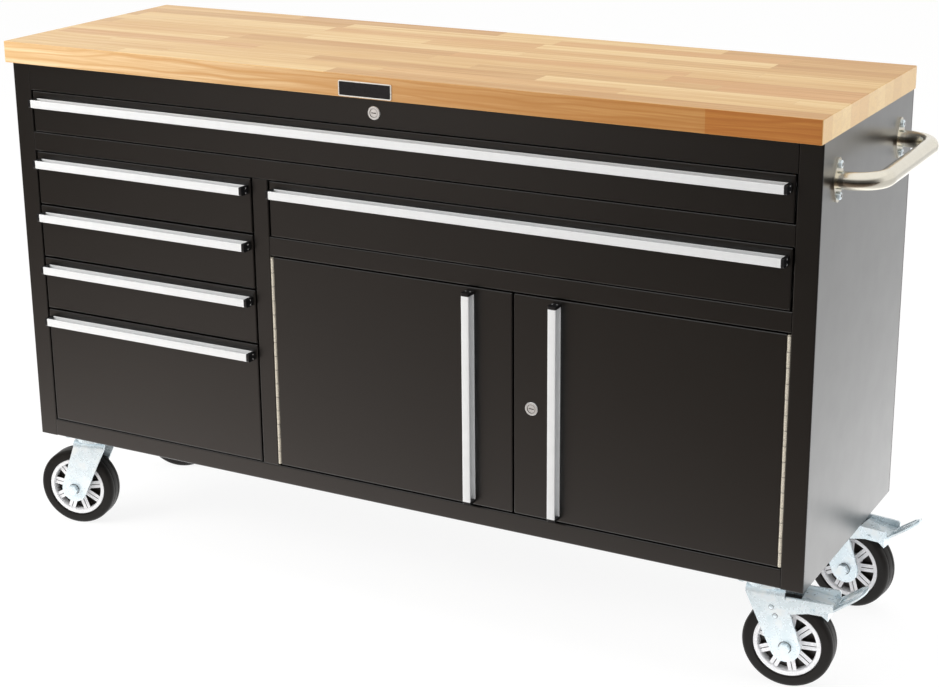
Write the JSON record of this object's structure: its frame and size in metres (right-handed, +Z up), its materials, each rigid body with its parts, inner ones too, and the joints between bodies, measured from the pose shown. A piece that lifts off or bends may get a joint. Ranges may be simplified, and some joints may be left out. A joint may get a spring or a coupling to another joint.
{
  "type": "rolling tool cabinet with worktop",
  "caption": "Long steel tool cabinet on swivel casters, with drawers on slides, two hinged doors over a shelf, a push handle and a hardwood worktop.",
  "frame": {"origin": "on the floor, under the middle of the whole part's box in width and depth", "axes": "+X along the length, towards the push handle; +Y back, away from the drawer fronts; +Z up"},
  "size_m": [1.6367, 0.482, 0.9475],
  "materials": {
    "body_paint": "black satin powder coat",
    "worktop_wood": "oiled edge-glued hardwood staves",
    "plate_enamel": "black plate with a bright rim",
    "pull_aluminium": "satin anodised extrusion",
    "zinc": "bright zinc plate",
    "hinge_steel": "yellow zinc plate",
    "handle_steel": "satin stainless steel",
    "lock_chrome": "polished",
    "rim_plastic": "moulded wheel centre",
    "tyre_rubber": "smooth tread"
  },
  "bodies": {
    "cabinet": {"worktop": "worktop_wood", "nameplate": "plate_enamel", "side_panel_left": "body_paint", "side_panel_right": "body_paint", "back_panel": "body_paint", "base_pan": "body_paint", "top_rail": "body_paint", "drawer_rail": "body_paint", "door_rail": "body_paint", "centre_post": "body_paint", "divider_panel": "body_paint", "shelf": "body_paint", "shelf_ledges": "zinc", "push_handle": "handle_steel", "bolts": "zinc", "hinge_post_leaves": "hinge_steel", "top_lock_barrel": "lock_chrome", "slide_channels": "zinc", "caster_mounts": "zinc"},
    "left_door": {"door_left": "body_paint", "door_left_pull": "pull_aluminium", "door_left_hinge": "hinge_steel"},
    "right_door": {"door_right": "body_paint", "door_right_pull": "pull_aluminium", "door_right_hinge": "hinge_steel", "door_lock_barrel": "lock_chrome"},
    "top_lock": {"top_lock_plug": "lock_chrome"},
    "door_lock": {"door_lock_plug": "lock_chrome"},
    "top_drawer": {"drawer_top": "body_paint", "drawer_top_pull": "pull_aluminium", "drawer_top_runners": "zinc"},
    "middle_drawer": {"drawer_mid": "body_paint", "drawer_mid_pull": "pull_aluminium", "drawer_mid_runners": "zinc"},
    "left_drawer_1": {"drawer_left_1": "body_paint", "drawer_left_1_pull": "pull_aluminium", "drawer_left_1_runners": "zinc"},
    "left_drawer_2": {"drawer_left_2": "body_paint", "drawer_left_2_pull": "pull_aluminium", "drawer_left_2_runners": "zinc"},
    "left_drawer_3": {"drawer_left_3": "body_paint", "drawer_left_3_pull": "pull_aluminium", "drawer_left_3_runners": "zinc"},
    "left_drawer_deep": {"drawer_left_deep": "body_paint", "drawer_left_deep_pull": "pull_aluminium", "drawer_left_deep_runners": "zinc"},
    "caster_front_left": {"fork_front_left": "zinc"},
    "wheel_front_left": {"rim_front_left": "rim_plastic", "tyre_front_left": "tyre_rubber"},
    "caster_rear_left": {"fork_rear_left": "zinc"},
    "wheel_rear_left": {"rim_rear_left": "rim_plastic", "tyre_rear_left": "tyre_rubber"},
    "caster_front_right": {"fork_front_right": "zinc"},
    "wheel_front_right": {"rim_front_right": "rim_plastic", "tyre_front_right": "tyre_rubber"},
    "brake_front_right": {"pedal_front_right": "zinc"},
    "caster_rear_right": {"fork_rear_right": "zinc"},
    "wheel_rear_right": {"rim_rear_right": "rim_plastic", "tyre_rear_right": "tyre_rubber"},
    "brake_rear_right": {"pedal_rear_right": "zinc"}
  },
  "joints": [
    {"name": "left_door_hinge", "type": "hinge", "parent": "cabinet", "child": "left_door", "pos_m": [-0.23663, -0.21925, 0.4205], "axis": [0, 0, -1], "range_deg": [0, 90]},
    {"name": "right_door_hinge", "type": "hinge", "parent": "cabinet", "child": "right_door", "pos_m": [0.69587, -0.21925, 0.4205], "axis": [0, 0, 1], "range_deg": [0, 90]},
    {"name": "top_lock_turn", "type": "hinge", "parent": "cabinet", "child": "top_lock", "pos_m": [-0.02338, -0.221, 0.8839], "axis": [0, 1, 0], "range_deg": [0, 90]},
    {"name": "door_lock_turn", "type": "hinge", "parent": "right_door", "child": "door_lock", "pos_m": [0.26412, -0.221, 0.42], "axis": [0, -1, 0], "range_deg": [0, 90]},
    {"name": "top_drawer_slide", "type": "slide", "parent": "cabinet", "child": "top_drawer", "axis": [0, -1, 0], "range_m": [0, 0.32]},
    {"name": "middle_drawer_slide", "type": "slide", "parent": "cabinet", "child": "middle_drawer", "axis": [0, -1, 0], "range_m": [0, 0.32]},
    {"name": "left_drawer_1_slide", "type": "slide", "parent": "cabinet", "child": "left_drawer_1", "axis": [0, -1, 0], "range_m": [0, 0.32]},
    {"name": "left_drawer_2_slide", "type": "slide", "parent": "cabinet", "child": "left_drawer_2", "axis": [0, -1, 0], "range_m": [0, 0.32]},
    {"name": "left_drawer_3_slide", "type": "slide", "parent": "cabinet", "child": "left_drawer_3", "axis": [0, -1, 0], "range_m": [0, 0.32]},
    {"name": "left_drawer_deep_slide", "type": "slide", "parent": "cabinet", "child": "left_drawer_deep", "axis": [0, -1, 0], "range_m": [0, 0.32]},
    {"name": "swivel_front_left", "type": "hinge", "parent": "cabinet", "child": "caster_front_left", "pos_m": [-0.70538, -0.1584, 0.1745], "axis": [0, 0, 1], "continuous": true},
    {"name": "roll_front_left", "type": "hinge", "parent": "caster_front_left", "child": "wheel_front_left", "pos_m": [-0.7424, -0.16695, 0.075], "axis": [0.225, -0.9744, 0], "continuous": true},
    {"name": "swivel_rear_left", "type": "hinge", "parent": "cabinet", "child": "caster_rear_left", "pos_m": [-0.70538, 0.1754, 0.1745], "axis": [0, 0, 1], "continuous": true},
    {"name": "roll_rear_left", "type": "hinge", "parent": "caster_rear_left", "child": "wheel_rear_left", "pos_m": [-0.73953, 0.15874, 0.075], "axis": [0.4384, -0.8988, 0], "continuous": true},
    {"name": "swivel_front_right", "type": "hinge", "parent": "cabinet", "child": "caster_front_right", "pos_m": [0.65862, -0.1584, 0.1745], "axis": [0, 0, 1], "continuous": true},
    {"name": "roll_front_right", "type": "hinge", "parent": "caster_front_right", "child": "wheel_front_right", "pos_m": [0.69648, -0.15509, 0.075], "axis": [-0.0872, 0.9962, 0], "continuous": true},
    {"name": "brake_press_front_right", "type": "hinge", "parent": "caster_front_right", "child": "brake_front_right", "pos_m": [0.73832, -0.15143, 0.147], "axis": [-0.0872, 0.9962, 0], "range_deg": [0, 10]},
    {"name": "swivel_rear_right", "type": "hinge", "parent": "cabinet", "child": "caster_rear_right", "pos_m": [0.65862, 0.1754, 0.1745], "axis": [0, 0, 1], "continuous": true},
    {"name": "roll_rear_right", "type": "hinge", "parent": "caster_rear_right", "child": "wheel_rear_right", "pos_m": [0.6963, 0.17044, 0.075], "axis": [0.1305, 0.9914, 0], "continuous": true},
    {"name": "brake_press_rear_right", "type": "hinge", "parent": "caster_rear_right", "child": "brake_rear_right", "pos_m": [0.73794, 0.16496, 0.147], "axis": [0.1305, 0.9914, 0], "range_deg": [0, 10]}
  ]
}
